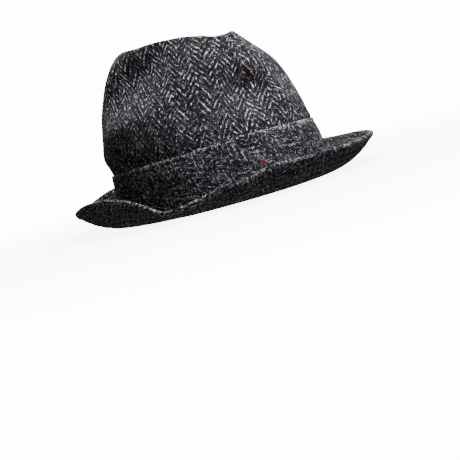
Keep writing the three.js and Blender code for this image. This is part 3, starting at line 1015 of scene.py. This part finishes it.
def fleck_material():
    """Dyed wool, rough and a little uneven in shade"""
    material, n, shader = start_material("Dyed Wool")
    dye = n.add("ShaderNodeAttribute", attribute_name="dye").outputs["Color"]
    place_on = n.add("ShaderNodeTexCoord").outputs["Object"]
    shade = n.spread(n.noise(place_on, 1500.0), 0.3, 0.7, to_low=0.5, to_high=1.1)
    n.put(n.mix(1.0, dye, n.join(shade, shade, shade), "MULTIPLY"), shader.inputs["Base Color"])
    shader.inputs["Roughness"].default_value = 0.95
    shader.inputs["Specular IOR Level"].default_value = 0.1
    n.put(n.bump(n.noise(place_on, 1800.0), 0.7, 0.3 * MM), shader.inputs["Normal"])
    return material


def stage_paper():
    """Pale paper, which takes a soft shadow near the hat and glows evenly further out.

    The glow hides the horizon. It starts at one distance from the hat and is full at another.
    """
    near = {"distance": 0.16, "glow": 7.0, "grey": (0.5, 0.5, 0.5)}
    far = {"distance": 0.5, "glow": 14.0, "grey": (0.0, 0.0, 0.0)}
    material, n, shader = start_material("Stage Paper")
    shader.inputs["Roughness"].default_value = 1.0
    shader.inputs["Specular IOR Level"].default_value = 0.0
    shader.inputs["Emission Color"].default_value = (1.0, 1.0, 1.0, 1.0)
    place_on = n.add("ShaderNodeTexCoord").outputs["Object"]
    away = n.add("ShaderNodeVectorMath", operation="LENGTH")
    n.put(place_on, away.inputs[0])
    share = n.spread(away.outputs["Value"], near["distance"], far["distance"])
    n.put(n.choose(share, near["glow"], far["glow"]), shader.inputs["Emission Strength"])
    n.put(n.mix(share, near["grey"], far["grey"]), shader.inputs["Base Color"])
    return material


def dress(obj, material, node):
    """Gives a piece its cloth and puts it in the place of its CAD node"""
    obj.data.materials.append(material)
    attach(obj, "root")
    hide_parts(node)


# Node trees that make meshes

def settle(obj, tree, inputs):
    """Runs a node tree over an object and keeps its result as a plain mesh"""
    modifier = obj.modifiers.new("settle", "NODES")
    modifier.node_group = tree
    for item in tree.interface.items_tree:
        if item.in_out == "INPUT" and item.name in inputs:
            modifier[item.identifier] = inputs[item.name]
    evaluated = obj.evaluated_get(bpy.context.evaluated_depsgraph_get())
    mesh = bpy.data.meshes.new_from_object(evaluated)
    obj.modifiers.remove(modifier)
    obj.data = mesh


def tree_with_inputs(name, sockets):
    """An empty geometry tree with its named inputs, and its two end nodes"""
    tree = bpy.data.node_groups.new(name, "GeometryNodeTree")
    tree.interface.new_socket("Geometry", in_out="INPUT", socket_type="NodeSocketGeometry")
    for socket, kind in sockets.items():
        tree.interface.new_socket(socket, in_out="INPUT", socket_type=kind)
    tree.interface.new_socket("Geometry", in_out="OUTPUT", socket_type="NodeSocketGeometry")
    return tree, tree.nodes.new("NodeGroupInput"), tree.nodes.new("NodeGroupOutput")


def stitch_tree():
    """Lays a stitch at every pitch along the loops that come in"""
    tree, start, end = tree_with_inputs("Stitches Along Loops", {
        "Pitch": "NodeSocketFloat", "Stitch Length": "NodeSocketFloat", "Thread Width": "NodeSocketFloat",
        "Thread": "NodeSocketMaterial"})
    n = Nodes(tree)
    curve = n.add("GeometryNodeMeshToCurve")
    n.put(start.outputs["Geometry"], curve.inputs[0])
    points = n.add("GeometryNodeCurveToPoints", mode="LENGTH")
    n.put(curve.outputs[0], points.inputs["Curve"])
    n.put(start.outputs["Pitch"], points.inputs["Length"])
    turn = n.add("FunctionNodeAlignRotationToVector", axis="Z")
    n.put(points.outputs["Tangent"], turn.inputs["Vector"])
    stitch = n.add("GeometryNodeMeshUVSphere")
    stitch.inputs["Segments"].default_value = 6
    stitch.inputs["Rings"].default_value = 4
    stitch.inputs["Radius"].default_value = 0.5
    copies = n.add("GeometryNodeInstanceOnPoints")
    n.put(points.outputs["Points"], copies.inputs["Points"])
    n.put(stitch.outputs["Mesh"], copies.inputs["Instance"])
    n.put(turn.outputs[0], copies.inputs["Rotation"])
    thin = start.outputs["Thread Width"]
    n.put(n.join(thin, thin, start.outputs["Stitch Length"]), copies.inputs["Scale"])
    whole = n.add("GeometryNodeRealizeInstances")
    n.put(copies.outputs[0], whole.inputs[0])
    smooth = n.add("GeometryNodeSetShadeSmooth")
    n.put(whole.outputs[0], smooth.inputs[0])
    dyed = n.add("GeometryNodeSetMaterial")
    n.put(smooth.outputs[0], dyed.inputs["Geometry"])
    n.put(start.outputs["Thread"], dyed.inputs["Material"])
    n.put(dyed.outputs[0], end.inputs[0])
    return tree


# Lights

def area_light(name, place_at, aim, size, power_watts):
    """A round soft light at one place, turned towards another"""
    data = bpy.data.lights.new(name, "AREA")
    data.shape = "DISK"
    data.size = size
    data.energy = power_watts
    light = place(bpy.data.objects.new(name, data))
    light.location = place_at
    light.rotation_mode = "QUATERNION"
    light.rotation_quaternion = (Vector(aim) - Vector(place_at)).to_track_quat("-Z", "Y")


def light_place(towards, elevation, distance):
    """A place seen from the hat in a direction round it and at an angle above the floor"""
    angle = math.radians(towards)
    level = distance * math.cos(math.radians(elevation))
    return level * math.sin(angle), -level * math.cos(angle), distance * math.sin(math.radians(elevation))


# Operators

class HAT_OT_crown(bpy.types.Operator):
    """Make the creased crown of soft cloth"""

    bl_idname = "hat.crown"
    bl_label = "Crown"

    def execute(self, context):
        towards = np.linspace(-180, 180, AROUND + 1)
        ups = np.linspace(0, 1, CROWN_ROWS + 1)
        outer, outward = crown_skin(towards[None, :], ups[:, None], context.scene.hat_shape.slack / MM)

        # The last row is the crease's floor, which faces up
        outward[-1] = (0, 0, 1)
        inner = outer - outward * CLOTH
        inner[0, :, 2] = outer[0, :, 2]
        inner = inner[::INSIDE_EVERY][::-1]
        right, left = crown_cloth(outer, towards)
        rows = np.concatenate([inner, outer])
        folded = [np.concatenate([half[::INSIDE_EVERY][::-1], half]) for half in (right, left)]
        crown = ring_mesh("crown_cloth", rows, corner_cloth(*folded), False, fold_ends=True)
        dress(crown, tweed("Herringbone Tweed"), "crown")
        return {"FINISHED"}


class HAT_OT_band(bpy.types.Operator):
    """Make the wide folded band, cut on the bias"""

    bl_idname = "hat.band"
    bl_label = "Band"

    def execute(self, context):
        towards = np.linspace(-180, 180, AROUND + 1)
        thick = context.scene.hat_shape.band_thickness / MM
        rows = band_rows(thick)
        on_face = np.array([out > BAND_GAP for share, out, rise in rows])[:, None]
        top = read_table(TOPS_AROUND, "towards", "z", towards)
        points = puffed_band(band_points(towards, top, rows), towards, on_face)
        # Painted highlight along the top of the band's face, where light catches its fold
        painted_highlight = bump_at((np.maximum(top - points[..., 2], 0) / BAND_HIGHLIGHT_REACH) ** 2) * on_face
        around = lengths_round(points[:1])[0] * np.ones((len(rows), 1))
        cloth = np.stack([around, lengths_up(points)], axis=-1)
        cloth = np.concatenate([cloth, cloth[-1:] + [0.0, thick]])
        band = ring_mesh("hat_band_cloth", points, corner_cloth(cloth, cloth), True, painted_highlight=painted_highlight)
        # depth 0.96 is painted shade, making the band's cloth a little darker than the crown's
        material = tweed("Band Tweed", turn=math.radians(-45), depth=0.96, clear=0.28)
        dress(band, material, "hat_band")
        return {"FINISHED"}


class HAT_OT_brim(bpy.types.Operator):
    """Make the turned-up brim with its plump edge"""

    bl_idname = "hat.brim"
    bl_label = "Brim"

    def execute(self, context):
        towards = np.linspace(-180, 180, AROUND + 1)
        half = context.scene.hat_shape.brim_thickness / MM / 2
        width = read_table(BRIM_AROUND, "towards", "width", towards)
        shares = np.linspace(0, 1, BRIM_ROWS + 1)
        edge_angles = np.radians((60, 30, 0, -30, -60))
        plump = half + brim_swell(0.0)
        points = []
        flat = []
        # Painted highlight along the brim's edge, full on its rolled edge, where light catches it
        painted_highlight = []
        for side in (1, -1):
            for share in shares[::side]:
                reach = width * share
                points.append(brim_skin(towards, reach, side * (half + brim_swell(width - reach)), half))
                flat.append(reach)
                painted_highlight.append(EDGE_HIGHLIGHT * bump_at(((width - reach) / BRIM_HIGHLIGHT_REACH) ** 2))
            if side == 1:
                for a in edge_angles:
                    lift = np.full_like(width, plump * math.sin(a))
                    points.append(brim_skin(towards, width + plump * math.cos(a), lift, half))
                    flat.append(width + plump * (math.pi / 2 - abs(a)))
                    painted_highlight.append(np.full_like(width, EDGE_HIGHLIGHT))
        angle = np.radians(towards)
        flat = np.array(flat + flat[-1:])
        cloth = np.stack([
            (OPENING_WIDTH + flat) * np.sin(angle),
            -(OPENING_LENGTH + flat) * np.cos(angle),
        ], axis=-1)[::-1]
        rows = np.array(points)[::-1]
        brim = ring_mesh("brim_cloth", rows, corner_cloth(cloth, cloth), True, painted_highlight=np.array(painted_highlight)[::-1])
        # depth 0.62 is painted shade: the brim's cloth is darkened for the shade it lies in
        dress(brim, tweed("Brim Tweed", depth=0.62, clear=0.4), "brim")
        self.stitch(towards, width, half)
        return {"FINISHED"}

    def stitch(self, towards, width, half):
        """Rows of stitches round both faces of the brim, in their grooves"""
        rows = []
        for side in (1, -1):
            for groove in BRIM_GROOVES:
                lift = side * (half + brim_swell(groove))
                rows.append(brim_skin(towards, width - groove, np.full_like(width, lift), half))
        rows = np.array(rows)[:, :-1]
        count = rows.shape[1]
        loops = np.arange(rows.shape[0] * count).reshape(-1, count)
        edges = np.stack([loops, np.roll(loops, -1, axis=1)], axis=-1).reshape(-1, 2)
        path = bpy.data.meshes.new("brim_stitch_path")
        path.from_pydata((rows.reshape(-1, 3) * MM + np.array(HAT_ORIGIN)).tolist(), edges.tolist(), [])
        stitches = place(bpy.data.objects.new("brim_stitches", path))
        thread = bpy.context.scene.hat_thread
        settle(stitches, stitch_tree(), {
            "Pitch": thread.pitch, "Stitch Length": thread.length, "Thread Width": thread.width,
            "Thread": thread_material(),
        })
        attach(stitches, "root")


class HAT_OT_flecks(bpy.types.Operator):
    """Make the tufts of dyed wool that stand in the tweed"""

    bl_idname = "hat.flecks"
    bl_label = "Flecks"

    def execute(self, context):
        slack = context.scene.hat_shape.slack / MM
        thick = context.scene.hat_shape.band_thickness / MM
        verts = []
        faces = []
        colours = []
        ball_verts, ball_faces = fleck_ball()
        for fleck in rows_of(FLECKS):
            middle, half_sizes = fleck_place(fleck, slack, thick)
            faces += [[len(verts) + i for i in face] for face in ball_faces]
            verts += ((middle + ball_verts @ half_sizes) * MM + np.array(HAT_ORIGIN)).tolist()
            colours += [(*FLECK_WOOLS[int(fleck["wool"])], 1.0)] * len(ball_verts)
        mesh = bpy.data.meshes.new("flecks")
        mesh.from_pydata(verts, [], faces)
        dye = mesh.attributes.new("dye", "FLOAT_COLOR", "POINT")
        dye.data.foreach_set("color", np.array(colours, dtype=np.float32).ravel())
        mesh.shade_smooth()
        mesh.update()
        flecks = place(bpy.data.objects.new("flecks", mesh))
        mesh.materials.append(fleck_material())
        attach(flecks, "root")
        return {"FINISHED"}


class HAT_OT_stage(bpy.types.Operator):
    """Make the pale stage, its soft lights and the camera"""

    bl_idname = "hat.stage"
    bl_label = "Stage"

    def execute(self, context):
        self.cove()
        self.lights(context)
        self.camera(context)
        return {"FINISHED"}

    def cove(self):
        """A round floor that curves up into a wall and a roof, so that no view shows a horizon"""
        floor = 1.4
        bend = 1.2
        bend_turns = np.radians(np.arange(6, 91, 6))
        profile = [(0.0, 0.0), (floor, 0.0)]
        profile += [(floor + bend * math.sin(a), bend - bend * math.cos(a)) for a in bend_turns]
        profile += [(2.6, 2.4), (2.2, 3.2), (0.0, 3.4)]
        spokes = 96
        around = [(math.cos(a), math.sin(a)) for a in (2 * math.pi * k / spokes for k in range(spokes))]
        verts = [(radius * x, radius * y, z) for radius, z in profile for x, y in around]
        faces = []
        for low in range(0, (len(profile) - 1) * spokes, spokes):
            high = low + spokes
            faces += [(low + k, high + k, high + (k + 1) % spokes, low + (k + 1) % spokes)
                      for k in range(spokes)]
        mesh = bpy.data.meshes.new("stage")
        mesh.from_pydata(verts, [], faces)
        mesh.shade_smooth()
        mesh.update()
        cove = place(bpy.data.objects.new("stage", mesh))
        cove.data.materials.append(stage_paper())
        cove.visible_diffuse = False
        cove.visible_glossy = False
        cove.visible_shadow = False

    def lights(self, context):
        """A key from above the front, a soft light behind, a bounce from below and an even fill"""
        studio = context.scene.hat_studio
        world = bpy.data.worlds.new("studio")
        world.use_nodes = True
        background = world.node_tree.nodes["Background"]
        background.inputs["Color"].default_value = (1.0, 1.0, 1.0, 1.0)
        background.inputs["Strength"].default_value = studio.fill
        context.scene.world = world
        aim = (0.0, 0.0, 0.08)
        key_place = light_place(towards=12, elevation=64, distance=1.5)
        back_place = light_place(towards=142, elevation=38, distance=1.6)
        bounce_place = (-0.5, -0.9, -0.7)
        area_light("key", key_place, aim, 0.7, studio.key)
        area_light("back", back_place, aim, 1.0, studio.back)
        area_light("bounce", bounce_place, aim, 1.2, studio.bounce)

    def camera(self, context):
        """A camera whose aim, a point over the crown's foot, falls on its pixel in the picture"""
        studio = context.scene.hat_studio
        aim_pixel = (206.5, 133.5)
        aim_height = 60 * MM
        picture = 460.0
        focal = studio.scale / MM * studio.distance
        level = math.cos(studio.elevation)
        back = Vector((math.sin(studio.azimuth) * level, -math.cos(studio.azimuth) * level,
                       math.sin(studio.elevation)))
        right = (-back).cross(Vector((0, 0, 1))).normalized()
        up = right.cross(-back)
        rolled_right = right * math.cos(studio.roll) - up * math.sin(studio.roll)
        rolled_up = right * math.sin(studio.roll) + up * math.cos(studio.roll)
        turned = Matrix((rolled_right, rolled_up, back)).transposed()
        aim_right = (aim_pixel[0] - picture / 2) / focal
        aim_up = (picture / 2 - aim_pixel[1]) / focal
        towards_aim = Vector((aim_right, aim_up, -1.0))
        aside = towards_aim.rotation_difference(Vector((0, 0, -1))).to_matrix()
        data = bpy.data.cameras.new("camera")
        data.sensor_width = 36.0
        data.lens = focal / picture * data.sensor_width
        data.clip_start = 0.05
        data.clip_end = 20.0
        camera = place(bpy.data.objects.new("camera", data))
        camera.rotation_mode = "QUATERNION"
        camera.rotation_quaternion = (turned @ aside).to_quaternion()
        camera.location = HAT_ORIGIN + Vector((0, 0, aim_height)) + back * studio.distance
        context.scene.camera = camera


class HAT_PT_panel(bpy.types.Panel):
    """Lists the hat's sizes and the buttons that make its pieces"""

    bl_idname = "HAT_PT_panel"
    bl_label = "Tweed Hat"
    bl_space_type = "VIEW_3D"
    bl_region_type = "UI"
    bl_category = "Hat"

    def draw(self, context):
        for group in (getattr(context.scene, name) for name in GROUPS):
            box = self.layout.box()
            for name in group.__annotations__:
                box.prop(group, name)
        for operator in OPERATORS:
            self.layout.operator(operator.bl_idname)


OPERATORS = (HAT_OT_crown, HAT_OT_band, HAT_OT_brim, HAT_OT_flecks, HAT_OT_stage)
GROUPS = {"hat_cloth": HatCloth, "hat_shape": HatShape, "hat_thread": HatThread, "hat_studio": HatStudio}
CLASSES = (*GROUPS.values(), *OPERATORS, HAT_PT_panel)


def register():
    for cls in CLASSES:
        bpy.utils.register_class(cls)
    for name, group in GROUPS.items():
        setattr(bpy.types.Scene, name, PointerProperty(type=group))


def unregister():
    for name in GROUPS:
        delattr(bpy.types.Scene, name)
    for cls in reversed(CLASSES):
        bpy.utils.unregister_class(cls)


def main():
    register()
    steps = (bpy.ops.hat.crown, bpy.ops.hat.band, bpy.ops.hat.brim, bpy.ops.hat.flecks, bpy.ops.hat.stage)
    for step in steps:
        if step() != {"FINISHED"}:
            raise RuntimeError("a piece of the hat couldn't be made")


if __name__ == "__main__":
    main()
